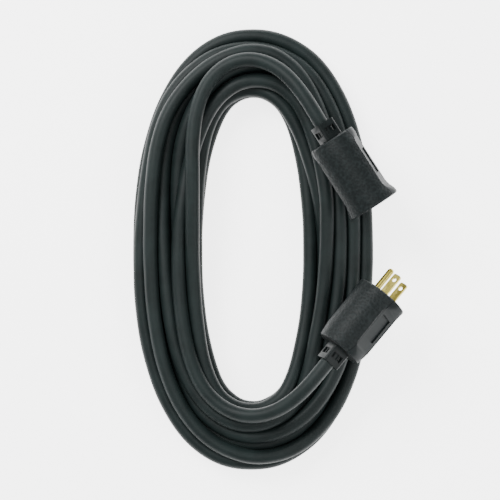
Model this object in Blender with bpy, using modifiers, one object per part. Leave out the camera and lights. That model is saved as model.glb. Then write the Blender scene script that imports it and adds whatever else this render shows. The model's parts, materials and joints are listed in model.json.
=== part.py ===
"""Heavy-duty three-wire extension cord, 25 ft (7.62 m) long, wound into a flat oval coil.

The coil lies on a surface at Z = 0 with its long axis along Y. Both ends rest on top of
its right-hand side: the plug points away from the coil at the lower right, and the
connector points down and out at the upper right. Each end is a moulded body with two
scalloped grip panels, a windowed strain relief, the cord's stripped end and three
insulated wires with crimped copper ends. The plug holds two blades and a ground pin in a
bridge, and the connector holds three spring contacts in a carrier with a rear cap.

Units are metres. An end is modelled along its own +Z, with its back face at Z = 0, its
ground side at +Y, and the two blades or slots side by side along X.
"""

import math
from collections import namedtuple

import bmesh
import bpy
from mathutils import Matrix, Vector

MM = 0.001
GAP = 0.3 * MM
ROUND_STEPS = 32
SMALL_STEPS = 16

# Cord: 12 gauge, three conductors.
CORD_RADIUS = 5.2 * MM
WIRE_RADIUS = 1.8 * MM
WIRE_LAY_RADIUS = 2.3 * MM
COPPER_RADIUS = 1.25 * MM

# Coil: an elliptical ring with a flat top and a flat underside.
COIL_CENTRE_X = -11.5 * MM
COIL_HALF_WIDTH = 62.3 * MM
COIL_HALF_LENGTH = 132.8 * MM
COIL_POINTS = 72
BUNDLE_WIDTH = 49.0 * MM
COIL_HEIGHT = 29.0 * MM
BUNDLE_CORNER = 10.0 * MM
BUNDLE_CORNER_STEPS = 4

# Moulded bodies. Each section is an ellipse whose two sides are cut flat.
PLUG_LENGTH = 48.7 * MM
CONNECTOR_LENGTH = 56.0 * MM
BODY_RADIUS = 18.5 * MM
BACK_HALF_DEPTH = 16.4 * MM
BACK_HALF_WIDTH = 16.9 * MM
BACK_TAPER = 16.0 * MM
FLARE_RADIUS = 19.6 * MM
FLARE_LENGTH = 9.0 * MM
WAIST_HALF_WIDTH = 15.3 * MM
BACK_RAMP = (2.0 * MM, 10.0 * MM)
FRONT_RAMP = (11.0 * MM, 2.0 * MM)
BODY_EDGE = 0.8 * MM
FLAT_LIMIT = 0.985
ARC_POINTS = 13
FLAT_POINTS = 5
BACK_WALL = 3.2 * MM
CAVITY_RADIUS = 11.4 * MM

# Grip panels, one let into each scalloped side, from end to end.
PANEL_THICKNESS = 2.1 * MM
PANEL_HALF_WIDTH = 8.8 * MM
PANEL_POINTS = 9
PANEL_EDGE = 0.5 * MM
RECESS_SIZE = (12.0 * MM, 20.0 * MM)
RECESS_DEPTH = 1.0 * MM
RECESS_BACK = 17.0 * MM

# Strain relief: a square sleeve with a window of three cells in each face.
SLEEVE_WIDTH = 13.6 * MM
SLEEVE_LENGTH = 13.0 * MM
SLEEVE_EDGE = 1.4 * MM
NECK_RADIUS = 7.0 * MM
COLLAR_RADIUS = 9.4 * MM
COLLAR_DEPTH = 2.6 * MM
WINDOW_WIDTH = 8.4 * MM
WINDOW_LENGTH = 4.8 * MM
WINDOW_FLOOR = 5.9 * MM
CELL_FLOOR = 4.3 * MM
WINDOW_CELLS = 3
WINDOW_RIB = 0.9 * MM
JACKET_INSIDE = 9.0 * MM

# Blades and pin: 15 A, 125 V, two poles and ground.
BLADE_X = 6.35 * MM
BLADE_Y = -4.2 * MM
GROUND_Y = BLADE_Y + 11.9 * MM
BLADE_WIDTH = 6.35 * MM
BLADE_THICKNESS = 1.5 * MM
BLADE_LENGTH = 17.5 * MM
BLADE_CHAMFER = 1.3 * MM
BLADE_HOLE_RADIUS = 1.6 * MM
BLADE_HOLE_FROM_FACE = 13.0 * MM
GROUND_RADIUS = 2.38 * MM
GROUND_LENGTH = 20.6 * MM
GROUND_GROOVE = (0.8 * MM, 0.7 * MM)
BRIDGE_RADIUS = 11.9 * MM
BRIDGE_DEPTH = 9.0 * MM

# Crimps, the same on the blades and on the contacts.
BARREL_RADIUS = 2.3 * MM
BARREL_BORE = 1.6 * MM
BARREL_LENGTH = 7.0 * MM
BARE_COPPER = 2.5 * MM
PLUG_BARREL_Z = 28.0 * MM
CONNECTOR_BARREL_Z = 24.5 * MM

# Contact carrier and its contacts.
CARRIER_RADIUS = 11.9 * MM
CARRIER_DEPTH = 21.0 * MM
CAP_DEPTH = 2.4 * MM
FACE_WALL = 3.0 * MM
SLOT_WIDTH = 1.9 * MM
SLOT_HEIGHT = 7.2 * MM
GROUND_HOLE_RADIUS = 2.5 * MM
CELL_SIZE = (4.4 * MM, 7.4 * MM)
GROUND_CELL_RADIUS = 3.6 * MM
LEAF_THICKNESS = 0.7 * MM
LEAF_GAP = 1.6 * MM
LEAF_WIDTH = 6.2 * MM
CONTACT_DEPTH = 14.0 * MM
GROUND_CONTACT = (3.2 * MM, 2.45 * MM)
TANG = (2.4 * MM, 1.4 * MM)

# Where the ends lie: the back face's centre, the heading in plan, how far the front dips
# below level, and the turn about the end's own axis.
End = namedtuple("End", "name length back heading dip roll sleeve_turn barrel_z")
PLUG = End(
    "plug",
    PLUG_LENGTH,
    Vector((49.1, -69.9, 52.3)) * MM,
    math.radians(50.1),
    math.radians(9),
    math.radians(-39),
    math.radians(-30),
    PLUG_BARREL_Z,
)
CONNECTOR = End(
    "connector",
    CONNECTOR_LENGTH,
    Vector((43.8, 77.8, 50.2)) * MM,
    math.radians(-57.2),
    math.radians(2),
    math.radians(13),
    math.radians(51),
    CONNECTOR_BARREL_Z,
)

# The leads' routes beyond the sleeves, in millimetres, down to where they lie on the coil.
PLUG_ROUTE = (
    (34.5, -88.6, 55.2),
    (24.9, -99.2, 54.8),
    (11.9, -110.2, 51.4),
    (-2.7, -117.6, 45.6),
    (-18.7, -120.0, 39.2),
    (-34.2, -115.4, 35.4),
    (-47.0, -103.4, 34.6),
    (-55.7, -86.0, 34.6),
)
CONNECTOR_ROUTE = (
    (31.3, 97.4, 50.4),
    (23.5, 108.2, 49.2),
    (13.9, 119.8, 45.8),
    (2.7, 130.0, 41.4),
    (-9.7, 135.8, 37.2),
    (-22.7, 137.0, 34.8),
    (-34.7, 131.8, 34.6),
    (-44.1, 122.0, 34.6),
)
LEAD_STEP = 11.0 * MM
LEAD_STRAIGHT = 4.0 * MM

Kit = namedtuple("Kit", "parts cutters finishes")


def clear_scene():
    for item in list(bpy.data.objects):
        bpy.data.objects.remove(item)


def new_collection(name):
    made = bpy.data.collections.new(name)
    bpy.context.scene.collection.children.link(made)
    return made


def material(name, colour, roughness, metallic=0.0):
    made = bpy.data.materials.new(name)
    made.use_nodes = True
    shader = made.node_tree.nodes["Principled BSDF"]
    shader.inputs["Base Color"].default_value = (*colour, 1.0)
    shader.inputs["Roughness"].default_value = roughness
    shader.inputs["Metallic"].default_value = metallic
    return made


def make_finishes():
    return {
        "jacket": material("jacket", (0.022, 0.028, 0.028), 0.38),
        "body": material("body", (0.030, 0.033, 0.035), 0.55),
        "panel": material("panel", (0.040, 0.043, 0.046), 0.45),
        "sleeve": material("sleeve", (0.025, 0.027, 0.029), 0.30),
        "nylon": material("nylon", (0.055, 0.055, 0.058), 0.40),
        "brass": material("brass", (0.78, 0.60, 0.30), 0.28, 1.0),
        "copper": material("copper", (0.80, 0.42, 0.28), 0.30, 1.0),
        "wire_black": material("wire_black", (0.02, 0.02, 0.02), 0.45),
        "wire_white": material("wire_white", (0.80, 0.80, 0.78), 0.45),
        "wire_green": material("wire_green", (0.05, 0.32, 0.12), 0.45),
    }


def add_mesh(mesh, name, holder, finish=None, parent=None):
    made = bpy.data.objects.new(name, mesh)
    holder.objects.link(made)
    if finish is not None:
        mesh.materials.append(finish)
    made.parent = parent
    return made


def add_shape(shape, name, holder, finish=None, parent=None, sharp=35):
    """An object for a finished bmesh, shaded smooth where its faces meet at less than sharp degrees."""
    bmesh.ops.recalc_face_normals(shape, faces=shape.faces)
    mesh = bpy.data.meshes.new(name)
    shape.to_mesh(mesh)
    shape.free()
    mesh.shade_smooth()
    mesh.set_sharp_from_angle(angle=math.radians(sharp))
    return add_mesh(mesh, name, holder, finish, parent)


def add_cutter(kit, shape, name, parent):
    made = add_shape(shape, name, kit.cutters, None, parent)
    made.hide_render = True
    made.display_type = "WIRE"
    return made


def combine(target, tool, operation):
    """A Boolean of the target with the tool; DIFFERENCE cuts and UNION joins."""
    step = target.modifiers.new(tool.name, "BOOLEAN")
    step.operation = operation
    step.solver = "EXACT"
    step.object = tool


def box_in(shape, size, centre, turn=0.0):
    """A box added to a bmesh, turned about the Z axis. Returns its vertices."""
    matrix = Matrix.Rotation(turn, 4, "Z") @ Matrix.Translation(centre) @ Matrix.Diagonal((*size, 1.0))
    return bmesh.ops.create_cube(shape, size=1.0, matrix=matrix)["verts"]


def rod_in(shape, radius, low, high, x=0.0, y=0.0, steps=SMALL_STEPS):
    """A cylinder along Z from low to high, added to a bmesh."""
    matrix = Matrix.Translation((x, y, (low + high) / 2))
    bmesh.ops.create_cone(
        shape, cap_ends=True, segments=steps, radius1=radius, radius2=radius, depth=high - low, matrix=matrix
    )


def rod(radius, low, high, x=0.0, y=0.0, steps=SMALL_STEPS):
    shape = bmesh.new()
    rod_in(shape, radius, low, high, x, y, steps)
    return shape


def box(size, centre, turn=0.0):
    shape = bmesh.new()
    box_in(shape, size, centre, turn)
    return shape


def turned(kit, name, profile, finish, parent, place, steps=SMALL_STEPS):
    """A solid turned about its own Z from (radius, z) points that run down its outer side."""
    mesh = bpy.data.meshes.new(name)
    edges = [(index, index + 1) for index in range(len(profile) - 1)]
    mesh.from_pydata([(radius, 0.0, z) for radius, z in profile], edges, [])
    made = add_mesh(mesh, name, kit.parts, finish, parent)
    made.location = place
    screw = made.modifiers.new("turn", "SCREW")
    screw.steps = steps
    screw.render_steps = steps
    screw.use_merge_vertices = True
    screw.merge_threshold = 0.00001
    return made


def loft(rings):
    """A closed solid through rings of points that all have the same count."""
    shape = bmesh.new()
    loops = [[shape.verts.new(point) for point in ring] for ring in rings]
    count = len(loops[0])
    for near, far in zip(loops, loops[1:]):
        for index in range(count):
            after = (index + 1) % count
            shape.faces.new((near[index], near[after], far[after], far[index]))
    shape.faces.new(loops[0])
    shape.faces.new(loops[-1])
    return shape


def smooth_curve(points, step):
    """Points about a step apart along a Catmull-Rom curve through the given ones."""
    ends = [points[0] * 2 - points[1], *points, points[-1] * 2 - points[-2]]
    found = []
    for before, start, end, after in zip(ends, ends[1:], ends[2:], ends[3:]):
        count = max(1, round((end - start).length / step))
        for index in range(count):
            t = index / count
            linear = (end - before) * t
            square = (2 * before - 5 * start + 4 * end - after) * t**2
            cubic = (3 * start - before - 3 * end + after) * t**3
            found.append((2 * start + linear + square + cubic) / 2)
    found.append(points[-1])
    return found


def curve_object(name, points, cyclic=False, dimensions="3D"):
    line = bpy.data.curves.new(name, "CURVE")
    line.dimensions = dimensions
    spline = line.splines.new("POLY")
    spline.use_cyclic_u = cyclic
    spline.points.add(len(points) - 1)
    for point, place in zip(spline.points, points):
        point.co = (*place, 1.0)
    made = bpy.data.objects.new(name, line)
    bpy.context.scene.collection.objects.link(made)
    return made


def curve_to_mesh(guide, name, holder, finish, parent=None, sharp=35):
    """The curve's solid as a welded mesh object. The curve itself is removed."""
    bpy.context.view_layer.update()
    seen = guide.evaluated_get(bpy.context.evaluated_depsgraph_get())
    mesh = bpy.data.meshes.new_from_object(seen)
    bpy.data.objects.remove(guide)
    shape = bmesh.new()
    shape.from_mesh(mesh)
    bmesh.ops.remove_doubles(shape, verts=shape.verts, dist=0.00001)
    return add_shape(shape, name, holder, finish, parent, sharp)


def tube(name, points, radius, holder, finish, parent=None, resolution=2):
    guide = curve_object(name + "_line", points)
    guide.data.bevel_depth = radius
    guide.data.bevel_resolution = resolution
    guide.data.use_fill_caps = True
    return curve_to_mesh(guide, name, holder, finish, parent, 60)


def ramp(value, start, end):
    """0 before start, 1 after end, and a smooth rise between."""
    t = min(1.0, max(0.0, (value - start) / (end - start)))
    return t * t * (3 - 2 * t)


def body_section(z, length):
    """The section at a station: half depth along X, half width along Y, and where the sides are cut flat."""
    taper = ramp(z, -BACK_TAPER, BACK_TAPER) * 2 - 1
    flare = (FLARE_RADIUS - BODY_RADIUS) * ramp(z, length - FLARE_LENGTH, length)
    depth = BACK_HALF_DEPTH + (BODY_RADIUS - BACK_HALF_DEPTH) * taper
    width = BACK_HALF_WIDTH + (BODY_RADIUS - BACK_HALF_WIDTH) * taper + flare
    waist = ramp(z, *BACK_RAMP) - ramp(z, length - FRONT_RAMP[0], length - FRONT_RAMP[1])
    side = width * FLAT_LIMIT * (1 - waist) + WAIST_HALF_WIDTH * waist
    return depth, width, side


def body_stations(length):
    """Heights for the body's rings: closer together where the scallops ramp."""
    heights = []
    for start, end in ((BODY_EDGE, BACK_RAMP[1]), (length - FRONT_RAMP[0], length - BODY_EDGE)):
        heights += [start + (end - start) * index / 5 for index in range(6)]
    return heights


def body_ring(z, length, inset=0.0):
    """One section of the moulded body, counter-clockwise from the +X side."""
    depth, width, side = (size - inset for size in body_section(z, length))
    corner = math.asin(side / width)
    ring = []
    for middle in (0.0, math.pi):
        for index in range(ARC_POINTS):
            angle = middle + corner * (2 * index / (ARC_POINTS - 1) - 1)
            ring.append(Vector((depth * math.cos(angle), width * math.sin(angle), z)))
        start = ring[-1]
        end = Vector((-start.x, start.y, z))
        for index in range(1, FLAT_POINTS - 1):
            ring.append(start.lerp(end, index / (FLAT_POINTS - 1)))
    return ring


def body_shape(length):
    rings = [body_ring(0.0, length, BODY_EDGE)]
    rings += [body_ring(z, length) for z in body_stations(length)]
    rings.append(body_ring(length, length, BODY_EDGE))
    return loft(rings)


def panel_ring(z, length, side_sign, inset=0.0):
    """A section of a grip panel: flat inside, and outside it follows the body's own surface."""
    depth, width, side = body_section(z, length)
    ring = []
    for index in range(PANEL_POINTS):
        x = PANEL_HALF_WIDTH * (1 - 2 * index / (PANEL_POINTS - 1))
        outer = min(side, width * math.sqrt(1 - (x / depth) ** 2)) - inset
        ring.append(Vector((x, side_sign * outer, z)))
    inner = side_sign * (WAIST_HALF_WIDTH - PANEL_THICKNESS)
    ring.append(Vector((-PANEL_HALF_WIDTH, inner, z)))
    ring.append(Vector((PANEL_HALF_WIDTH, inner, z)))
    return ring


def panel_shape(length, side_sign):
    rings = [panel_ring(0.0, length, side_sign, PANEL_EDGE)]
    rings += [panel_ring(z, length, side_sign) for z in body_stations(length)]
    rings.append(panel_ring(length, length, side_sign, PANEL_EDGE))
    return loft(rings)


def make_overmould(kit, end, empty, pocket_radius, pocket_depth):
    """The moulded body: hollow for the wires, with a pocket for what the front face holds."""
    finish = kit.finishes["body"]
    made = add_shape(body_shape(end.length), end.name + "_overmould", kit.parts, finish, empty, 40)
    floor = end.length - pocket_depth
    bores = (
        ("hollow", CAVITY_RADIUS, BACK_WALL, floor + MM),
        ("pocket", pocket_radius + GAP, floor - GAP, end.length + MM),
        ("back_hole", NECK_RADIUS + GAP, -MM, BACK_WALL + MM),
    )
    for label, radius, low, high in bores:
        tool = add_cutter(kit, rod(radius, low, high, steps=ROUND_STEPS), f"{end.name}_{label}", empty)
        combine(made, tool, "DIFFERENCE")
    floor = WAIST_HALF_WIDTH - PANEL_THICKNESS - GAP
    size = (2 * (PANEL_HALF_WIDTH + GAP), 2 * BODY_RADIUS, 2 * end.length)
    for side_sign, label in ((1, "ground"), (-1, "blade")):
        seat = box(size, (0.0, side_sign * (floor + BODY_RADIUS), end.length / 2))
        combine(made, add_cutter(kit, seat, f"{end.name}_{label}_seat", empty), "DIFFERENCE")


def make_panels(kit, end, empty):
    """The two smooth grip panels, each with a long shallow recess."""
    for side_sign, label in ((1, "ground"), (-1, "blade")):
        name = f"{end.name}_{label}_side_panel"
        shape = panel_shape(end.length, side_sign)
        made = add_shape(shape, name, kit.parts, kit.finishes["panel"], empty, 30)
        size = (RECESS_SIZE[0], 2 * RECESS_DEPTH, RECESS_SIZE[1])
        centre = (0.0, WAIST_HALF_WIDTH * side_sign, RECESS_BACK + RECESS_SIZE[1] / 2)
        combine(made, add_cutter(kit, box(size, centre), name + "_recess", empty), "DIFFERENCE")


def make_sleeve(kit, end, empty):
    """The strain relief: a windowed square sleeve, its neck, and a collar that holds it in the body."""
    shape = bmesh.new()
    size = (SLEEVE_WIDTH, SLEEVE_WIDTH, SLEEVE_LENGTH - GAP)
    box_in(shape, size, (0.0, 0.0, -(SLEEVE_LENGTH + GAP) / 2), end.sleeve_turn)
    long_edges = [edge for edge in shape.edges if abs(edge.verts[0].co.z - edge.verts[1].co.z) > MM]
    bmesh.ops.bevel(shape, geom=long_edges, offset=SLEEVE_EDGE, segments=3, profile=0.5, affect="EDGES")
    name = end.name + "_strain_relief"
    made = add_shape(shape, name, kit.parts, kit.finishes["sleeve"], empty, 30)
    neck = rod(NECK_RADIUS, -MM, BACK_WALL + MM, steps=ROUND_STEPS)
    collar = rod(COLLAR_RADIUS, BACK_WALL + GAP, BACK_WALL + GAP + COLLAR_DEPTH, steps=ROUND_STEPS)
    bore = rod(CORD_RADIUS + GAP, -SLEEVE_LENGTH - MM, 2 * BACK_WALL + COLLAR_DEPTH, steps=ROUND_STEPS)
    combine(made, add_cutter(kit, neck, name + "_neck", empty), "UNION")
    combine(made, add_cutter(kit, collar, name + "_collar", empty), "UNION")
    combine(made, add_cutter(kit, bore, name + "_bore", empty), "DIFFERENCE")
    frames = bmesh.new()
    cells = bmesh.new()
    pitch = (WINDOW_WIDTH + WINDOW_RIB) / WINDOW_CELLS
    outside = SLEEVE_WIDTH / 2 + MM
    middle = -SLEEVE_LENGTH / 2
    for quarter in range(4):
        turn = end.sleeve_turn + quarter * math.pi / 2
        size = (WINDOW_WIDTH, outside - WINDOW_FLOOR, WINDOW_LENGTH)
        box_in(frames, size, (0.0, (outside + WINDOW_FLOOR) / 2, middle), turn)
        for cell in range(WINDOW_CELLS):
            across = (cell - (WINDOW_CELLS - 1) / 2) * pitch
            size = (pitch - WINDOW_RIB, outside - CELL_FLOOR, WINDOW_LENGTH - WINDOW_RIB)
            box_in(cells, size, (across, (outside + CELL_FLOOR) / 2, middle), turn)
    combine(made, add_cutter(kit, frames, name + "_windows", empty), "DIFFERENCE")
    combine(made, add_cutter(kit, cells, name + "_cells", empty), "DIFFERENCE")


def make_cord_end(kit, end, empty):
    """The jacket's stripped end inside the sleeve and body."""
    shape = rod(CORD_RADIUS, -SLEEVE_LENGTH, JACKET_INSIDE, steps=ROUND_STEPS)
    add_shape(shape, end.name + "_jacket_end", kit.parts, kit.finishes["jacket"], empty)


def make_wires(kit, end, empty):
    """Three insulated wires that fan out from the jacket, and the bare copper in each crimp."""
    poles = (
        ("line", -30, BLADE_X, BLADE_Y, "wire_black"),
        ("neutral", 210, -BLADE_X, BLADE_Y, "wire_white"),
        ("ground", 90, 0.0, GROUND_Y, "wire_green"),
    )
    start, stop = JACKET_INSIDE + GAP, end.barrel_z - BARE_COPPER
    for label, angle, x, y, finish in poles:
        lay = Vector((math.cos(math.radians(angle)), math.sin(math.radians(angle)), 0.0)) * WIRE_LAY_RADIUS
        crimp = Vector((x, y, 0.0))
        run = stop - start
        route = [
            lay + Vector((0, 0, start)),
            lay + Vector((0, 0, start + 0.12 * run)),
            lay.lerp(crimp, 0.5) + Vector((0, 0, start + 0.5 * run)),
            crimp + Vector((0, 0, stop - 0.12 * run)),
            crimp + Vector((0, 0, stop)),
        ]
        points = smooth_curve(route, 3 * MM)
        tube(f"{end.name}_{label}_wire", points, WIRE_RADIUS, kit.parts, kit.finishes[finish], empty)
        copper = rod(COPPER_RADIUS, stop + GAP, end.barrel_z + BARREL_LENGTH - 1.6 * MM, x, y, 12)
        add_shape(copper, f"{end.name}_{label}_copper", kit.parts, kit.finishes["copper"], empty)


def add_barrel(kit, made, name, empty, x, y, z):
    """Joins a crimp barrel to a blade or contact, and bores it."""
    barrel = add_cutter(kit, rod(BARREL_RADIUS, z, z + BARREL_LENGTH, x, y), name + "_barrel", empty)
    bore = rod(BARREL_BORE, z - MM, z + BARREL_LENGTH - 1.2 * MM, x, y)
    combine(made, barrel, "UNION")
    combine(made, add_cutter(kit, bore, name + "_barrel_bore", empty), "DIFFERENCE")


def make_blades(kit, end, empty):
    """The line and neutral blades, each with a chamfered tip, a hole and a crimp barrel."""
    root = end.barrel_z + BARREL_LENGTH - MM
    tip = end.length + BLADE_LENGTH
    for label, x in (("line", BLADE_X), ("neutral", -BLADE_X)):
        name = f"plug_{label}_blade"
        shape = box((BLADE_THICKNESS, BLADE_WIDTH, tip - root), (x, BLADE_Y, (root + tip) / 2))
        corners = [
            edge
            for edge in shape.edges
            if min(vert.co.z for vert in edge.verts) > tip - MM
            and abs(edge.verts[0].co.y - edge.verts[1].co.y) < MM
        ]
        bmesh.ops.bevel(shape, geom=corners, offset=BLADE_CHAMFER, segments=2, profile=0.5, affect="EDGES")
        made = add_shape(shape, name, kit.parts, kit.finishes["brass"], empty)
        hole = bmesh.new()
        matrix = Matrix.Translation((x, BLADE_Y, end.length + BLADE_HOLE_FROM_FACE)) @ Matrix.Rotation(
            math.pi / 2, 4, "Y"
        )
        bmesh.ops.create_cone(
            hole,
            cap_ends=True,
            segments=SMALL_STEPS,
            radius1=BLADE_HOLE_RADIUS,
            radius2=BLADE_HOLE_RADIUS,
            depth=3 * BLADE_THICKNESS,
            matrix=matrix,
        )
        combine(made, add_cutter(kit, hole, name + "_hole", empty), "DIFFERENCE")
        add_barrel(kit, made, name, empty, x, BLADE_Y, end.barrel_z)


def make_ground_pin(kit, end, empty):
    """A folded pin: round, with a domed tip and a groove along the side that faces the blades."""
    root = end.barrel_z + BARREL_LENGTH - MM
    tip = end.length + GROUND_LENGTH
    profile = []
    for index in range(6):
        angle = math.radians(90 - 18 * index)
        profile.append((GROUND_RADIUS * math.cos(angle), tip - GROUND_RADIUS * (1 - math.sin(angle))))
    profile[0] = (0.0, tip)
    profile += [(GROUND_RADIUS, root), (0.0, root)]
    name = "plug_ground_pin"
    made = turned(kit, name, profile, kit.finishes["brass"], empty, (0.0, GROUND_Y, 0.0), 20)
    width, depth = GROUND_GROOVE
    length = GROUND_LENGTH + BRIDGE_DEPTH
    groove = box((2 * depth, width, length), (-GROUND_RADIUS, GROUND_Y, end.length + length / 2))
    combine(made, add_cutter(kit, groove, name + "_groove", empty), "DIFFERENCE")
    add_barrel(kit, made, name, empty, 0.0, GROUND_Y, end.barrel_z)


def make_bridge(kit, end, empty):
    """The rigid disc in the plug's face that holds the blades and the pin."""
    disc = rod(BRIDGE_RADIUS, end.length - BRIDGE_DEPTH, end.length, steps=ROUND_STEPS)
    made = add_shape(disc, "plug_blade_bridge", kit.parts, kit.finishes["nylon"], empty)
    middle = end.length - BRIDGE_DEPTH / 2
    holes = bmesh.new()
    for x in (BLADE_X, -BLADE_X):
        size = (BLADE_THICKNESS + 2 * GAP, BLADE_WIDTH + 2 * GAP, 2 * BRIDGE_DEPTH)
        box_in(holes, size, (x, BLADE_Y, middle))
    rod_in(holes, GROUND_RADIUS + GAP, middle - BRIDGE_DEPTH, middle + BRIDGE_DEPTH, 0.0, GROUND_Y, 20)
    combine(made, add_cutter(kit, holes, "plug_blade_bridge_holes", empty), "DIFFERENCE")


def make_carrier(kit, end, empty):
    """The contact carrier: slots and a ground hole in its face, and a cell behind each."""
    back, front = end.length - CARRIER_DEPTH, end.length
    made = add_shape(
        rod(CARRIER_RADIUS, back, front, steps=ROUND_STEPS),
        "connector_contact_carrier",
        kit.parts,
        kit.finishes["nylon"],
        empty,
    )
    cells = bmesh.new()
    depth = CARRIER_DEPTH - FACE_WALL
    for x in (BLADE_X, -BLADE_X):
        box_in(cells, (*CELL_SIZE, 2 * depth), (x, BLADE_Y, back))
    rod_in(cells, GROUND_CELL_RADIUS, back - depth, back + depth, 0.0, GROUND_Y, 20)
    slots = bmesh.new()
    for x in (BLADE_X, -BLADE_X):
        box_in(slots, (SLOT_WIDTH, SLOT_HEIGHT, 3 * FACE_WALL), (x, BLADE_Y, front))
    hole = rod(GROUND_HOLE_RADIUS, front - 2 * FACE_WALL, front + MM, 0.0, GROUND_Y, 20)
    combine(made, add_cutter(kit, cells, "carrier_cells", empty), "DIFFERENCE")
    combine(made, add_cutter(kit, slots, "carrier_slots", empty), "DIFFERENCE")
    combine(made, add_cutter(kit, hole, "carrier_ground_hole", empty), "DIFFERENCE")


def make_carrier_cap(kit, end, empty):
    """The disc that closes the carrier behind the contacts, with a hole for each tang."""
    front = end.length - CARRIER_DEPTH - GAP
    disc = rod(CARRIER_RADIUS, front - CAP_DEPTH, front, steps=ROUND_STEPS)
    made = add_shape(disc, "connector_carrier_cap", kit.parts, kit.finishes["nylon"], empty)
    holes = bmesh.new()
    for x, y in ((BLADE_X, BLADE_Y), (-BLADE_X, BLADE_Y), (0.0, GROUND_Y)):
        size = (TANG[0] + 2 * GAP, TANG[1] + 2 * GAP, 4 * CAP_DEPTH)
        box_in(holes, size, (x, y, front - CAP_DEPTH / 2))
    combine(made, add_cutter(kit, holes, "connector_carrier_cap_holes", empty), "DIFFERENCE")


def make_contacts(kit, end, empty):
    """Two fork contacts for the blades and one split tube for the ground pin, with crimp barrels."""
    base = end.length - CARRIER_DEPTH + MM
    tang_back = end.barrel_z + BARREL_LENGTH - MM
    finish = kit.finishes["brass"]
    half_fork = LEAF_GAP / 2 + LEAF_THICKNESS
    for label, x in (("line", BLADE_X), ("neutral", -BLADE_X)):
        name = f"connector_{label}_contact"
        fork = box((2 * half_fork, LEAF_WIDTH, CONTACT_DEPTH), (x, BLADE_Y, base + CONTACT_DEPTH / 2))
        made = add_shape(fork, name, kit.parts, finish, empty)
        mouth = box((LEAF_GAP, 2 * LEAF_WIDTH, CONTACT_DEPTH), (x, BLADE_Y, base + MM + CONTACT_DEPTH / 2))
        combine(made, add_cutter(kit, mouth, name + "_mouth", empty), "DIFFERENCE")
        add_tang(kit, made, name, empty, x, BLADE_Y, tang_back, base + MM / 2)
        add_barrel(kit, made, name, empty, x, BLADE_Y, end.barrel_z)
    name = "connector_ground_contact"
    outer, inner = GROUND_CONTACT
    tube_shape = rod(outer, base, base + CONTACT_DEPTH, 0.0, GROUND_Y, 20)
    made = add_shape(tube_shape, name, kit.parts, finish, empty)
    bore = rod(inner, base + MM, base + 2 * CONTACT_DEPTH, 0.0, GROUND_Y, 20)
    slit = box((MM, 3 * outer, CONTACT_DEPTH), (0.0, GROUND_Y, base + 2 * MM + CONTACT_DEPTH / 2))
    combine(made, add_cutter(kit, bore, name + "_bore", empty), "DIFFERENCE")
    combine(made, add_cutter(kit, slit, name + "_slit", empty), "DIFFERENCE")
    add_tang(kit, made, name, empty, 0.0, GROUND_Y, tang_back, base + MM / 2)
    add_barrel(kit, made, name, empty, 0.0, GROUND_Y, end.barrel_z)


def add_tang(kit, made, name, empty, x, y, low, high):
    """Joins the strip that runs from a contact's base to its crimp barrel."""
    strip = box((*TANG, high - low), (x, y, (low + high) / 2))
    combine(made, add_cutter(kit, strip, name + "_tang", empty), "UNION")


def end_empty(end):
    """An empty at the end's back face, its +Z along the end and its +Y to the ground side."""
    along = Vector(
        (
            math.cos(end.heading) * math.cos(end.dip),
            math.sin(end.heading) * math.cos(end.dip),
            -math.sin(end.dip),
        )
    )
    side = Vector((0.0, 0.0, 1.0)).cross(along).normalized()
    level = Matrix((side.cross(along), side, along)).transposed()
    made = bpy.data.objects.new(end.name + "_axis", None)
    bpy.context.scene.collection.objects.link(made)
    turn = Matrix.Rotation(end.roll, 3, "Z")
    made.matrix_world = Matrix.Translation(end.back) @ (level @ turn).to_4x4()
    bpy.context.view_layer.update()
    return made


def bundle_outline():
    """The coil's cross-section: a rectangle with round corners."""
    half, corner = BUNDLE_WIDTH / 2, BUNDLE_CORNER
    corners = (
        (corner - half, corner, 180),
        (half - corner, corner, 270),
        (half - corner, COIL_HEIGHT - corner, 0),
        (corner - half, COIL_HEIGHT - corner, 90),
    )
    points = []
    for x, y, first in corners:
        for index in range(BUNDLE_CORNER_STEPS + 1):
            angle = math.radians(first + 90 * index / BUNDLE_CORNER_STEPS)
            points.append((x + corner * math.cos(angle), y + corner * math.sin(angle), 0.0))
    return points


def make_coil(kit):
    """The outer shape of the wound turns: the bundle's section swept round an ellipse."""
    angles = [2 * math.pi * index / COIL_POINTS for index in range(COIL_POINTS)]
    path = [
        (COIL_CENTRE_X + COIL_HALF_WIDTH * math.cos(a), COIL_HALF_LENGTH * math.sin(a), 0.0) for a in angles
    ]
    section = curve_object("bundle_section", bundle_outline(), cyclic=True, dimensions="2D")
    guide = curve_object("coil_path", path, cyclic=True)
    guide.data.twist_mode = "Z_UP"
    guide.data.bevel_mode = "OBJECT"
    guide.data.bevel_object = section
    curve_to_mesh(guide, "cord_coil", kit.parts, kit.finishes["jacket"], None, 30)
    bpy.data.objects.remove(section)


def make_lead(kit, end, empty, route):
    """The stretch of cord between a sleeve's mouth and the coil."""
    starts = (-SLEEVE_LENGTH - GAP, -SLEEVE_LENGTH - GAP - LEAD_STRAIGHT)
    straight = [empty.matrix_world @ Vector((0.0, 0.0, z)) for z in starts]
    points = [straight[0], *smooth_curve([straight[1], *[Vector(point) * MM for point in route]], LEAD_STEP)]
    tube(end.name + "_lead", points, CORD_RADIUS, kit.parts, kit.finishes["jacket"], resolution=3)


def make_end(kit, end, route, pocket_radius, pocket_depth):
    """What both ends share. Returns the empty that holds them."""
    empty = end_empty(end)
    make_overmould(kit, end, empty, pocket_radius, pocket_depth)
    make_panels(kit, end, empty)
    make_sleeve(kit, end, empty)
    make_cord_end(kit, end, empty)
    make_wires(kit, end, empty)
    make_lead(kit, end, empty, route)
    return empty


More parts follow.
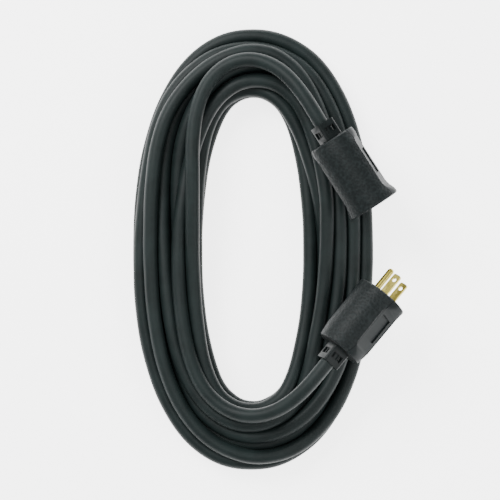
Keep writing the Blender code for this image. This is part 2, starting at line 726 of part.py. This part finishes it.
def main():
    clear_scene()
    kit = Kit(new_collection("extension_cord"), new_collection("cutters"), make_finishes())
    make_coil(kit)
    plug = make_end(kit, PLUG, PLUG_ROUTE, BRIDGE_RADIUS, BRIDGE_DEPTH)
    make_bridge(kit, PLUG, plug)
    make_blades(kit, PLUG, plug)
    make_ground_pin(kit, PLUG, plug)
    connector = make_end(kit, CONNECTOR, CONNECTOR_ROUTE, CARRIER_RADIUS, CARRIER_DEPTH + CAP_DEPTH + 2 * GAP)
    make_carrier(kit, CONNECTOR, connector)
    make_carrier_cap(kit, CONNECTOR, connector)
    make_contacts(kit, CONNECTOR, connector)


main()
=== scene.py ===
"""Studio scene of a heavy-duty extension cord wound into a flat oval coil.

The cord stands for 25 ft (7.62 m) of 12-gauge three-conductor cord. Its turns are laid by
a loop, in lanes and layers that drift. Then they settle against each other, the floor and
the two moulded ends, so that crossing strands lie over one another as real ones do.
"""

import json
import math

import bmesh
import bpy
import numpy as np
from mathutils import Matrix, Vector


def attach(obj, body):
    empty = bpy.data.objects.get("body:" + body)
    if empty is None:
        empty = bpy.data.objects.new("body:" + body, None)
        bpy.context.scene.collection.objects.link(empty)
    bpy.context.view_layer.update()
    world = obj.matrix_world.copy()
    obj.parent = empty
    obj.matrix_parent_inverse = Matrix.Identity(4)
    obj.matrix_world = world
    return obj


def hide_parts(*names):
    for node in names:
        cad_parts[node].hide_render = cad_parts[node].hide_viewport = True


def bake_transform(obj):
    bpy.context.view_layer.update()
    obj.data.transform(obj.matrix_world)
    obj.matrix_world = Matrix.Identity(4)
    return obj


MM = 0.001
TINY = 1e-6

# The cord and its jacket, which is very slightly lobed over the three twisted conductors.
CORD_LENGTH = 7620.0 * MM
CORD_RADIUS = 5.2 * MM
CORD_SIDES = 20
CORD_LOBES = 3
LOBE_DEPTH = 0.05 * MM
LAY_LENGTH = 110.0 * MM
RING_STEP = 4.0 * MM
CURVE_CUTS = 24

# The bundle is an oval, a little squarer than an ellipse. The middle oval is what lanes are
# counted from, and the turns are kept in the room between the inner and the outer one.
COIL_CENTRE = (-11.5 * MM, 0.0)
COIL_HALF_WIDTH = 62.3 * MM
COIL_HALF_LENGTH = 132.8 * MM
LEVEL_HEIGHT = 9.0 * MM
OVAL_POWER = 2.25
OUTER_HALF_WIDTH = 81.8 * MM
OUTER_HALF_LENGTH = 154.4 * MM
INNER_HALF_WIDTH = 41.5 * MM
INNER_HALF_LENGTH = 115.5 * MM

# The moulded ends: the middle of each body's back, and the way it points, as in the CAD.
PLUG_BACK = Vector((49.1, -69.9, 52.3)) * MM
PLUG_ALONG = Vector((0.6336, 0.7577, -0.1564)).normalized()
PLUG_LENGTH = 48.7 * MM
CONNECTOR_BACK = Vector((43.8, 77.8, 50.2)) * MM
CONNECTOR_ALONG = Vector((0.5414, -0.8401, -0.0349)).normalized()
CONNECTOR_LENGTH = 56.0 * MM
BODY_RADIUS = 18.8 * MM
SLEEVE_RADIUS = 8.6 * MM
SLEEVE_LENGTH = 13.0 * MM
# Where the cord runs straight, in millimetres from the body's back. The first is its end inside.
STRAIGHT_PLACES = (8.9, 0.0, -8.0, -15.5)
JACKET_INSIDE = STRAIGHT_PLACES[0] * MM
LEAD_LENGTH = 62.0 * MM

# The winding starts and ends on the left (-X) side. The cord lies in a lane, a distance in
# millimetres outside the middle oval, and in a layer, counted from the floor. Both drift at a
# steady rate per turn as the cord goes round. FIRST_LANE and LAST_LANE are the leads' own.
COIL_TURNS = 11
TURN_POINTS = 24
START_ANGLE = 180
LANE_SPREAD = 21.5
LANE_RATE = 0.19
LANE_START = 0.61
TOP_LEVEL = 2.2
LEVEL_RATE = 0.38
LEVEL_START = 0.30
FIRST_LANE = (-18.0, 2.6)
LAST_LANE = (-9.0, 2.7)
LANE_JOIN = 0.6
SWAY_SHARPNESS = 0.96

# Where the leads lie between the sleeves and the winding, in millimetres.
CONNECTOR_ROUTE = (
    (31.3, 97.4, 50.4),
    (23.5, 108.2, 48.8),
    (13.9, 119.8, 44.8),
    (2.0, 131.0, 38.5),
    (-15.0, 138.0, 34.5),
    (-33.0, 132.0, 33.0),
    (-44.0, 120.0, 32.0),
    (-50.0, 102.0, 31.0),
    (-54.0, 75.0, 30.0),
    (-56.0, 40.0, 29.0),
)
PLUG_ROUTE = (
    (-64.0, -22.0, 30.0),
    (-61.0, -47.0, 31.0),
    (-56.0, -70.0, 32.0),
    (-50.0, -89.0, 33.5),
    (-41.5, -105.0, 34.5),
    (-32.0, -115.5, 35.5),
    (-19.0, -120.5, 38.5),
    (-5.0, -119.0, 42.5),
    (8.3, -112.2, 47.5),
    (18.3, -105.0, 52.6),
    (26.5, -97.2, 55.0),
    (34.0, -88.8, 55.2),
)

# How the cord settles. Gains are shares of a fault that one step puts right.
NODE_STEP = 5.0 * MM
SETTLE_STEPS = 1000
CALM_FROM = 0.7
WOUND_PULL = 0.03
LEAD_PULL = 0.02
PULL_BY_AXIS = (1.0, 1.0, 0.3)
LAST_PULL = 0.03
STIFFNESS = ((1, 0.9), (2, 0.5), (4, 0.35))
LAST_STIFFNESS = 0.25
SHAPE_STRIDE = 8
SHAPE_GAIN = 0.5
CLEARANCE = 10.5 * MM
CROSSING_GAP = 7.0 * MM
CONTACT_GAIN = 1.5
BODY_GAIN = 0.5
PAIR_MARGIN = 4.0 * MM
PAIRS_EVERY = 8
NEIGHBOURS = 8
LENGTH_GAIN = 0.25
LENGTH_PASSES = 2
OUTER_GAIN = 0.5
INNER_GAIN = 0.3
SINK_STEP = 0.012 * MM
FLOOR_GAP = 0.1 * MM
HELD_LENGTH = 26.0 * MM
LEAD_REACH = 110.0 * MM
BEND_RADIUS = 38.0 * MM
BEND_STRIDE = 4
BEND_GAIN = 0.5

# Corners sharper than this stay crisp when a mesh is shaded smooth.
SHARP_ANGLE = 32
WELD_DISTANCE = 0.002 * MM

# The finishes: a darker and a lighter tone each, and for the plain ones a roughness.
JACKET_TONES = ((0.0055, 0.0090, 0.0088), (0.0085, 0.0138, 0.0134))
GRAIN_TONES = ((0.0035, 0.0055, 0.0056), (0.0085, 0.0120, 0.0122))
PLASTICS = {
    "grip_panel": ((0.005, 0.0075, 0.0078), (0.008, 0.0112, 0.0116), 0.54),
    "strain_relief": ((0.004, 0.006, 0.006), (0.007, 0.0095, 0.0095), 0.36),
    "nylon_insert": ((0.020, 0.020, 0.022), (0.032, 0.032, 0.034), 0.42),
    "wire_black": ((0.012, 0.012, 0.012), (0.022, 0.022, 0.022), 0.45),
    "wire_white": ((0.72, 0.72, 0.70), (0.82, 0.82, 0.80), 0.45),
    "wire_green": ((0.03, 0.24, 0.08), (0.06, 0.36, 0.13), 0.45),
}
METALS = {
    "brass": ((0.34, 0.28, 0.06), (0.52, 0.45, 0.13), 0.28),
    "copper_strand": ((0.70, 0.30, 0.18), (0.88, 0.48, 0.32), 0.30),
}
SHADER_IOR = 1.4

# The studio: each light's place, what it aims at, its two sides and its power, then the rest.
LIGHTS = {
    "key": ((-0.75, 0.75, 1.1), (0.0, 0.0, 0.02), (0.7, 0.7), 34.0),
    "fill": ((0.9, -0.4, 0.9), (0.0, 0.0, 0.02), (0.8, 0.8), 9.0),
    "top": ((0.0, 0.0, 2.4), (0.0, 0.0, 0.0), (0.5, 0.5), 12.0),
}
WHITE = (1.0, 1.0, 1.0, 1.0)
SKY_STRENGTH = 0.8
FLOOR_TONES = ((0.92, 0.92, 0.92), (0.94, 0.94, 0.94))
FLOOR_GLOW = 3.4
FLOOR_HALF_SIDE = 6.0
CAMERA_PLACE = (-0.0135, -0.0004, 1.5)
CAMERA_LENS = 148.0
CAMERA_SENSOR = 36.0
CAMERA_NEAR = 0.05


def oval_point(angle, offset, height):
    """A point at a distance outside the coil's middle oval, in millimetres, at an angle in degrees."""
    turn = math.radians(angle)
    across = math.copysign(abs(math.cos(turn)) ** (2 / OVAL_POWER), math.cos(turn))
    along = math.copysign(abs(math.sin(turn)) ** (2 / OVAL_POWER), math.sin(turn))
    x = COIL_HALF_WIDTH * across
    y = COIL_HALF_LENGTH * along
    normal = Vector((across / COIL_HALF_WIDTH, along / COIL_HALF_LENGTH, 0.0)).normalized()
    return Vector((COIL_CENTRE[0] + x, COIL_CENTRE[1] + y, height)) + normal * offset * MM


def sway(phase):
    """A wave between -1 and 1 that runs almost straight up and down."""
    wave = SWAY_SHARPNESS * math.sin(2 * math.pi * phase)
    return math.asin(wave) / math.asin(SWAY_SHARPNESS)


def lane_at(turns):
    """The lane and the layer after a number of turns, eased into the leads' own at both ends."""
    offset = LANE_SPREAD * sway(LANE_START + LANE_RATE * turns)
    level = TOP_LEVEL * (1 + sway(LEVEL_START + LEVEL_RATE * turns)) / 2
    for distance, lane in ((turns, FIRST_LANE), (COIL_TURNS - turns, LAST_LANE)):
        share = max(0.0, 1 - distance / LANE_JOIN)
        share *= share * (3 - 2 * share)
        offset += (lane[0] - offset) * share
        level += (lane[1] - level) * share
    return offset, level


def turn_points():
    """Points along all the turns, counter-clockwise from the left side."""
    points = []
    for index in range(COIL_TURNS * TURN_POINTS + 1):
        turns = index / TURN_POINTS
        offset, level = lane_at(turns)
        height = CORD_RADIUS + LEVEL_HEIGHT * level
        points.append(oval_point(START_ANGLE + 360 * turns, offset, height))
    return points


def catmull_rom(points, step):
    """Evenly spaced points, about a step apart, along a smooth curve through the given ones."""
    given = np.array([tuple(point) for point in points])
    padded = np.vstack([2 * given[0] - given[1], given, 2 * given[-1] - given[-2]])
    fine = []
    for index in range(len(given) - 1):
        p0, p1, p2, p3 = padded[index : index + 4]
        for t in np.linspace(0, 1, CURVE_CUTS, endpoint=False):
            twice = 2 * p1 + (p2 - p0) * t
            twice = twice + (2 * p0 - 5 * p1 + 4 * p2 - p3) * t**2
            twice = twice + (3 * p1 - p0 - 3 * p2 + p3) * t**3
            fine.append(0.5 * twice)
    fine.append(given[-1])
    return evenly(np.array(fine), step)


def evenly(points, step):
    """The same line with its points set about a step apart."""
    lengths = np.linalg.norm(np.diff(points, axis=0), axis=1)
    along = np.concatenate([[0.0], np.cumsum(lengths)])
    count = max(2, int(round(along[-1] / step)))
    wanted = np.linspace(0, along[-1], count + 1)
    return np.stack([np.interp(wanted, along, points[:, axis]) for axis in range(3)], axis=1)


def cord_layout():
    """The whole cord before settling, from inside the connector to inside the plug."""
    start = [CONNECTOR_BACK + CONNECTOR_ALONG * z * MM for z in STRAIGHT_PLACES]
    finish = [PLUG_BACK + PLUG_ALONG * z * MM for z in reversed(STRAIGHT_PLACES)]
    points = start + [Vector(p) * MM for p in CONNECTOR_ROUTE]
    points += turn_points()
    points += [Vector(p) * MM for p in PLUG_ROUTE] + finish
    return catmull_rom(points, NODE_STEP)


def near_pairs(points, reach):
    """Pairs of nodes closer than reach that aren't neighbours along the cord."""
    cell = np.floor(points / reach).astype(int)
    cell -= cell.min(0)
    size = cell.max(0) + 2
    key = (cell[:, 0] * size[1] + cell[:, 1]) * size[2] + cell[:, 2]
    order = np.argsort(key, kind="stable")
    ordered = key[order]
    found = []
    for dx in (-1, 0, 1):
        for dy in (-1, 0, 1):
            for dz in (-1, 0, 1):
                other = key + (dx * size[1] + dy) * size[2] + dz
                first = np.searchsorted(ordered, other, "left")
                last = np.searchsorted(ordered, other, "right")
                for shift in range(int((last - first).max())):
                    chosen = first + shift < last
                    left = np.nonzero(chosen)[0]
                    right = order[(first + shift)[chosen]]
                    keep = right - left > NEIGHBOURS
                    found.append(np.stack([left[keep], right[keep]], axis=1))
    pairs = np.vstack(found)
    gaps = np.linalg.norm(points[pairs[:, 0]] - points[pairs[:, 1]], axis=1)
    return pairs[gaps < reach]


def push_off_body(points, start, along, length, radius):
    """The moves that take nodes out of a round bar from a point along a direction."""
    start, along = np.array(start), np.array(along)
    offset = points - start
    place = np.clip(offset @ along, 0, length)
    away = offset - place[:, None] * along
    distance = np.linalg.norm(away, axis=1)
    inside = (distance < radius) & (offset @ along > 0) & (offset @ along < length)
    push = np.zeros_like(points)
    push[inside] = away[inside] / distance[inside, None] * (radius - distance[inside])[:, None]
    return push


def bending(field, stride):
    """How far each node of a field lies off a smooth run through its neighbours a stride apart."""
    made = np.zeros_like(field)
    near = field[stride : -3 * stride] + field[3 * stride : -stride]
    far = field[: -4 * stride] + field[4 * stride :]
    made[2 * stride : -2 * stride] = (4 * near - 6 * field[2 * stride : -2 * stride] - far) / 16
    return made


def open_bends(nodes):
    """The moves that ease every bend tighter than BEND_RADIUS."""
    stride = BEND_STRIDE
    most = (stride * NODE_STEP) ** 2 / (2 * BEND_RADIUS)
    sag = (nodes[: -2 * stride] + nodes[2 * stride :]) / 2 - nodes[stride:-stride]
    depth = np.linalg.norm(sag, axis=1)
    sag *= (np.maximum(depth - most, 0) / np.maximum(depth, TINY))[:, None]
    made = np.zeros_like(nodes)
    made[stride:-stride] += sag * BEND_GAIN
    made[: -2 * stride] -= sag * BEND_GAIN / 2
    made[2 * stride :] -= sag * BEND_GAIN / 2
    return made


def keep_between(nodes, wound):
    """Draws the wound turns in to the bundle's outer oval and out of its opening."""
    offset = nodes[:, :2] - np.array(COIL_CENTRE)
    ovals = (
        (OUTER_HALF_WIDTH, OUTER_HALF_LENGTH, 1, OUTER_GAIN),
        (INNER_HALF_WIDTH, INNER_HALF_LENGTH, -1, INNER_GAIN),
    )
    for half_width, half_length, side, gain in ovals:
        scaled = np.abs(offset / np.array((half_width, half_length))) ** OVAL_POWER
        reach = scaled.sum(axis=1) ** (1 / OVAL_POWER)
        outside = ((reach - 1) * side > 0) & wound
        nodes[outside, :2] -= offset[outside] * (1 - 1 / reach[outside])[:, None] * gain


def keep_length(nodes, free, rest):
    """Brings every step between neighbours back towards its own length."""
    for _ in range(LENGTH_PASSES):
        span = np.diff(nodes, axis=0)
        length = np.linalg.norm(span, axis=1)[:, None]
        fix = span * (1 - rest / length) * LENGTH_GAIN
        nodes[:-1] += free[:-1] * fix
        nodes[1:] -= free[1:] * fix


def push_apart(nodes, goal, pairs):
    """The moves that part strands closer than the clearance, half each.

    Strands that cross are parted upwards and downwards, with the one that was laid higher on top.
    """
    gap = nodes[pairs[:, 0]] - nodes[pairs[:, 1]]
    distance = np.linalg.norm(gap, axis=1)
    upper = np.where(goal[pairs[:, 0], 2] >= goal[pairs[:, 1], 2], 1.0, -1.0)
    gap[:, 2] += upper * np.maximum(CROSSING_GAP - distance, 0)
    gap /= np.maximum(np.linalg.norm(gap, axis=1), TINY)[:, None]
    close = distance < CLEARANCE
    shift = gap[close] * (CLEARANCE - distance[close])[:, None] / 2
    total = np.zeros_like(nodes)
    hits = np.zeros(len(nodes))
    for column, sign in ((0, 1), (1, -1)):
        np.add.at(total, pairs[close, column], sign * shift)
        np.add.at(hits, pairs[close, column], 1)
    return total / np.maximum(hits, 1)[:, None] * CONTACT_GAIN


def end_bars():
    """The bars that the cord can't enter: a body and a sleeve for each end."""
    bars = []
    for back, along, length in (
        (PLUG_BACK, PLUG_ALONG, PLUG_LENGTH),
        (CONNECTOR_BACK, CONNECTOR_ALONG, CONNECTOR_LENGTH),
    ):
        bars.append((back, along, length, BODY_RADIUS + CORD_RADIUS))
    for back, along in ((PLUG_BACK, PLUG_ALONG), (CONNECTOR_BACK, CONNECTOR_ALONG)):
        bars.append((back, -along, SLEEVE_LENGTH, SLEEVE_RADIUS + CORD_RADIUS))
    return bars


def settle(points, steps):
    """Lets the cord find its rest, where strands touch and nothing sinks into the floor.

    At first every node is drawn to where it was laid. That pull fades to a trace, and the last
    steps leave the cord to its own stiffness, its contacts and its weight.
    """
    goal = points.copy()
    nodes = points.copy()
    rest = CORD_LENGTH / (len(nodes) - 1)
    along = np.arange(len(nodes)) * rest
    lead = np.minimum(along, along[-1] - along)
    free = (lead >= HELD_LENGTH)[:, None].astype(float)
    wound = lead > LEAD_REACH
    aim = np.where(wound, WOUND_PULL, LEAD_PULL)[:, None] * np.array(PULL_BY_AXIS)
    weight = free[:, 0] * wound * SINK_STEP
    bars = end_bars()
    for step in range(steps):
        if step % PAIRS_EVERY == 0:
            pairs = near_pairs(nodes, CLEARANCE + PAIR_MARGIN)
        hold = max(0.0, 1 - step / steps / CALM_FROM)
        nodes += free * (goal - nodes) * aim * (LAST_PULL + (1 - LAST_PULL) * hold)
        nodes[:, 2] -= weight
        stiff = LAST_STIFFNESS + (1 - LAST_STIFFNESS) * hold
        for stride, gain in STIFFNESS:
            nodes += free * bending(nodes, stride) * gain * stiff
        kept_shape = bending(nodes - goal, SHAPE_STRIDE) * SHAPE_GAIN * hold
        nodes += free * (kept_shape + open_bends(nodes))
        keep_length(nodes, free, rest)
        nodes += free * push_apart(nodes, goal, pairs)
        keep_between(nodes, wound)
        for bar in bars:
            nodes += free * push_off_body(nodes, *bar) * BODY_GAIN
        nodes[:, 2] = np.maximum(nodes[:, 2], CORD_RADIUS + FLOOR_GAP)
    return nodes


def ring_frames(points):
    """Two unit directions across the line at each point, carried along it without twisting."""
    tangents = np.gradient(points, axis=0)
    tangents /= np.linalg.norm(tangents, axis=1)[:, None]
    across = np.cross(tangents[0], (0.0, 0.0, 1.0))
    across /= np.linalg.norm(across)
    sides = []
    for tangent in tangents:
        across = across - tangent * (across @ tangent)
        across /= np.linalg.norm(across)
        sides.append((across, np.cross(tangent, across)))
    return sides


def cord_mesh(name, points, frames, start):
    """A tube round the points. Its lobes turn as the conductors twist, on from ring number start."""
    shape = bmesh.new()
    loops = []
    for index, (point, (across, up)) in enumerate(zip(points, frames)):
        twist = 2 * math.pi * (start + index) * RING_STEP / LAY_LENGTH
        loop = []
        for side in range(CORD_SIDES):
            angle = 2 * math.pi * side / CORD_SIDES
            radius = CORD_RADIUS + LOBE_DEPTH * math.cos(CORD_LOBES * (angle - twist))
            outward = math.cos(angle) * across + math.sin(angle) * up
            loop.append(shape.verts.new(point + radius * outward))
        loops.append(loop)
    for near, far in zip(loops, loops[1:]):
        for side in range(CORD_SIDES):
            after = (side + 1) % CORD_SIDES
            shape.faces.new((near[side], near[after], far[after], far[side]))
    mesh = bpy.data.meshes.new(name)
    shape.to_mesh(mesh)
    shape.free()
    mesh.shade_smooth()
    made = bpy.data.objects.new(name, mesh)
    bpy.context.scene.collection.objects.link(made)
    return made


def simple_node(tree, kind, **values):
    """A new shader node, with the given inputs or settings."""
    made = tree.nodes.new(kind)
    for key, value in values.items():
        if key in made.inputs:
            made.inputs[key].default_value = value
        else:
            setattr(made, key, value)
    return made


def new_material(name, roughness, metallic=0.0, specular=0.22):
    made = bpy.data.materials.new(name)
    made.use_nodes = True
    shader = made.node_tree.nodes["Principled BSDF"]
    shader.inputs["Roughness"].default_value = roughness
    shader.inputs["Metallic"].default_value = metallic
    shader.inputs["IOR"].default_value = SHADER_IOR
    shader.inputs["Specular IOR Level"].default_value = specular
    return made, made.node_tree, shader


def two_tones(tree, shader, source, tones, low, high):
    """Base colour between a dark and a light tone, led by a texture's factor from low to high."""
    ramp = simple_node(tree, "ShaderNodeValToRGB")
    for stop, place, tone in zip(ramp.color_ramp.elements, (low, high), tones):
        stop.position = place
        stop.color = (*tone, 1.0)
    tree.links.new(source, ramp.inputs["Fac"])
    tree.links.new(ramp.outputs["Color"], shader.inputs["Base Color"])


def mottled(tree, shader, tones, scale):
    """Base colour that drifts between two tones at a scale."""
    place = simple_node(tree, "ShaderNodeTexCoord")
    noise = simple_node(tree, "ShaderNodeTexNoise", Scale=scale, Detail=6.0, Roughness=0.6)
    tree.links.new(place.outputs["Object"], noise.inputs["Vector"])
    two_tones(tree, shader, noise.outputs["Fac"], tones, low=0.35, high=0.65)
    return place, noise


def rough_range(tree, shader, source, low, high):
    """Roughness between two values, led by a texture's factor."""
    spread = simple_node(tree, "ShaderNodeMapRange")
    spread.inputs["To Min"].default_value = low
    spread.inputs["To Max"].default_value = high
    tree.links.new(source, spread.inputs["Value"])
    tree.links.new(spread.outputs["Result"], shader.inputs["Roughness"])


def add_bump(tree, shader, source, strength, distance):
    bump = simple_node(tree, "ShaderNodeBump", Strength=strength, Distance=distance)
    tree.links.new(source, bump.inputs["Height"])
    tree.links.new(bump.outputs["Normal"], shader.inputs["Normal"])


def jacket_material():
    """Slightly dull vinyl, uneven in tone and sheen."""
    made, tree, shader = new_material("jacket", 0.4)
    place, noise = mottled(tree, shader, JACKET_TONES, scale=60.0)
    fine = simple_node(tree, "ShaderNodeTexNoise", Scale=900.0, Detail=3.0)
    tree.links.new(place.outputs["Object"], fine.inputs["Vector"])
    rough_range(tree, shader, noise.outputs["Fac"], low=0.44, high=0.58)
    add_bump(tree, shader, fine.outputs["Fac"], strength=0.12, distance=0.0001)
    return made


def grain_material():
    """Charcoal moulding with a leather grain: uneven cells with raised, paler edges."""
    made, tree, shader = new_material("body_moulding", 0.5, specular=0.2)
    place = simple_node(tree, "ShaderNodeTexCoord")
    cells = simple_node(tree, "ShaderNodeTexVoronoi", Scale=620.0)
    cells.feature = "SMOOTH_F1"
    warp = simple_node(tree, "ShaderNodeTexNoise", Scale=260.0, Detail=4.0, Roughness=0.7)
    blend = simple_node(tree, "ShaderNodeMath", operation="MULTIPLY")
    tree.links.new(place.outputs["Object"], cells.inputs["Vector"])
    tree.links.new(place.outputs["Object"], warp.inputs["Vector"])
    tree.links.new(cells.outputs["Distance"], blend.inputs[0])
    tree.links.new(warp.outputs["Fac"], blend.inputs[1])
    two_tones(tree, shader, blend.outputs["Value"], GRAIN_TONES, low=0.12, high=0.36)
    rough_range(tree, shader, warp.outputs["Fac"], low=0.34, high=0.64)
    add_bump(tree, shader, blend.outputs["Value"], strength=0.7, distance=0.0008)
    return made


def smooth_plastic(name, dark, light, roughness):
    """Plain moulded plastic with a fine bloom."""
    made, tree, shader = new_material(name, roughness, specular=0.16)
    place, noise = mottled(tree, shader, (dark, light), scale=120.0)
    fine = simple_node(tree, "ShaderNodeTexNoise", Scale=1400.0, Detail=2.0)
    tree.links.new(place.outputs["Object"], fine.inputs["Vector"])
    rough_range(tree, shader, noise.outputs["Fac"], low=roughness - 0.06, high=roughness + 0.06)
    add_bump(tree, shader, fine.outputs["Fac"], strength=0.05, distance=0.0001)
    return made


def metal(name, dark, light, roughness):
    """Drawn metal: fine streaks and a little tarnish."""
    made, tree, shader = new_material(name, roughness, metallic=1.0, specular=0.5)
    place, _ = mottled(tree, shader, (dark, light), scale=150.0)
    stretch = simple_node(tree, "ShaderNodeMapping", Scale=(300.0, 300.0, 2500.0))
    streaks = simple_node(tree, "ShaderNodeTexNoise", Scale=1.0, Detail=2.0)
    tree.links.new(place.outputs["Object"], stretch.inputs["Vector"])
    tree.links.new(stretch.outputs["Vector"], streaks.inputs["Vector"])
    rough_range(tree, shader, streaks.outputs["Fac"], low=roughness - 0.08, high=roughness + 0.12)
    add_bump(tree, shader, streaks.outputs["Fac"], strength=0.08, distance=0.00005)
    return made


def floor_material():
    """White ground with a glow of its own, so that it stays pale under the view transform."""
    made, tree, shader = new_material("floor", 0.9)
    mottled(tree, shader, FLOOR_TONES, scale=4.0)
    shader.inputs["Emission Color"].default_value = WHITE
    shader.inputs["Emission Strength"].default_value = FLOOR_GLOW
    return made


def make_materials():
    """A material for every material slot that the record names."""
    made = {"cord_jacket": jacket_material(), "body_moulding": grain_material()}
    for name, finish in PLASTICS.items():
        made[name] = smooth_plastic(name, *finish)
    for name, finish in METALS.items():
        made[name] = metal(name, *finish)
    return made


def smooth_group():
    """Geometry nodes that shade a mesh smooth, apart from its sharp corners."""
    tree = bpy.data.node_groups.new("smooth_by_angle", "GeometryNodeTree")
    tree.interface.new_socket("Geometry", in_out="INPUT", socket_type="NodeSocketGeometry")
    tree.interface.new_socket("Geometry", in_out="OUTPUT", socket_type="NodeSocketGeometry")
    start = tree.nodes.new("NodeGroupInput")
    drop = tree.nodes.new("GeometryNodeRemoveAttribute")
    drop.inputs["Name"].default_value = "custom_normal"
    weld = tree.nodes.new("GeometryNodeMergeByDistance")
    weld.inputs["Distance"].default_value = WELD_DISTANCE
    faces = tree.nodes.new("GeometryNodeSetShadeSmooth")
    angle = tree.nodes.new("GeometryNodeInputMeshEdgeAngle")
    steep = tree.nodes.new("FunctionNodeCompare")
    steep.operation = "GREATER_THAN"
    steep.inputs["B"].default_value = math.radians(SHARP_ANGLE)
    edges = tree.nodes.new("GeometryNodeSetShadeSmooth")
    edges.domain = "EDGE"
    edges.inputs["Shade Smooth"].default_value = False
    end = tree.nodes.new("NodeGroupOutput")
    for near, far in ((start, drop), (drop, weld), (weld, faces), (faces, edges), (edges, end)):
        tree.links.new(near.outputs[0], far.inputs[0])
    tree.links.new(angle.outputs["Unsigned Angle"], steep.inputs["A"])
    tree.links.new(steep.outputs["Result"], edges.inputs["Selection"])
    return tree


def dress_nodes(frame, materials):
    """Gives every carried-over CAD node its finish, and shades its round surfaces smooth."""
    slots = {row["node"]: row["material_slot"] for row in frame["record"]["subparts"]}
    smoothing = smooth_group()
    for name, node in frame["nodes"].items():
        node.data.materials.clear()
        node.data.materials.append(materials[slots[name]])
        node.modifiers.new("smooth", "NODES").node_group = smoothing


def make_cord(materials):
    """The settled cord in three pieces that meet ring to ring: the coil, and a lead for each end."""
    nodes = settle(cord_layout(), SETTLE_STEPS)
    points = catmull_rom(nodes, RING_STEP)
    frames = ring_frames(points)
    inside = JACKET_INSIDE + SLEEVE_LENGTH
    cut = int(round((inside + LEAD_LENGTH) / RING_STEP))
    last = len(points) - 1
    spans = (
        ("connector_lead_cord", 0, cut, "connector", CONNECTOR_BACK, CONNECTOR_ALONG),
        ("coil_cord", cut, last - cut, None, None, None),
        ("plug_lead_cord", last - cut, last, "plug", PLUG_BACK, PLUG_ALONG),
    )
    for name, first, final, end, back, along in spans:
        route = points[first : final + 1]
        made = cord_mesh(name, route, frames[first : final + 1], first)
        made.data.materials.append(materials["cord_jacket"])
        if end is None:
            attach(made, "coil")
            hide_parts("cord_coil")
        else:
            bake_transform(made)
            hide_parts(end + "_lead", end + "_jacket_end")


def add_area_light(name, place, aim, size, power):
    data = bpy.data.lights.new(name, "AREA")
    data.shape = "RECTANGLE"
    data.size, data.size_y = size
    data.energy = power
    made = bpy.data.objects.new(name, data)
    bpy.context.scene.collection.objects.link(made)
    made.location = place
    made.rotation_euler = (Vector(aim) - Vector(place)).to_track_quat("-Z", "Y").to_euler()


def make_floor():
    floor_mesh = bpy.data.meshes.new("floor")
    shape = bmesh.new()
    bmesh.ops.create_grid(shape, x_segments=1, y_segments=1, size=FLOOR_HALF_SIDE)
    shape.to_mesh(floor_mesh)
    shape.free()
    floor = bpy.data.objects.new("floor", floor_mesh)
    bpy.context.scene.collection.objects.link(floor)
    floor_mesh.materials.append(floor_material())


def make_studio():
    """The floor, an even white sky and the three lights."""
    make_floor()
    world = bpy.data.worlds.new("studio")
    world.use_nodes = True
    sky = world.node_tree.nodes["Background"]
    sky.inputs["Color"].default_value = WHITE
    sky.inputs["Strength"].default_value = SKY_STRENGTH
    bpy.context.scene.world = world
    for name, (place, aim, size, power) in LIGHTS.items():
        add_area_light(name, place, aim, size, power)


def make_camera():
    """A long lens straight above the coil."""
    data = bpy.data.cameras.new("camera")
    data.sensor_width = CAMERA_SENSOR
    data.lens = CAMERA_LENS
    data.clip_start = CAMERA_NEAR
    camera = bpy.data.objects.new("camera", data)
    bpy.context.scene.collection.objects.link(camera)
    camera.location = CAMERA_PLACE
    bpy.context.scene.camera = camera


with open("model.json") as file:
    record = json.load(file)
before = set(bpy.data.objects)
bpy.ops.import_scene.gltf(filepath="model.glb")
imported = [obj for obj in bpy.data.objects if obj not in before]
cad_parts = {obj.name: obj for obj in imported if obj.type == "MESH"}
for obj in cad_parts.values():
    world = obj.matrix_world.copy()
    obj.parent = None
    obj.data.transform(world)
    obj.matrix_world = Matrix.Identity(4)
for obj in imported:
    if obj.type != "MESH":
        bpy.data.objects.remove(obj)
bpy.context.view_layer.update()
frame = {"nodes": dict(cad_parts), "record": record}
make_camera()
make_studio()
materials = make_materials()
dress_nodes(frame, materials)
make_cord(materials)
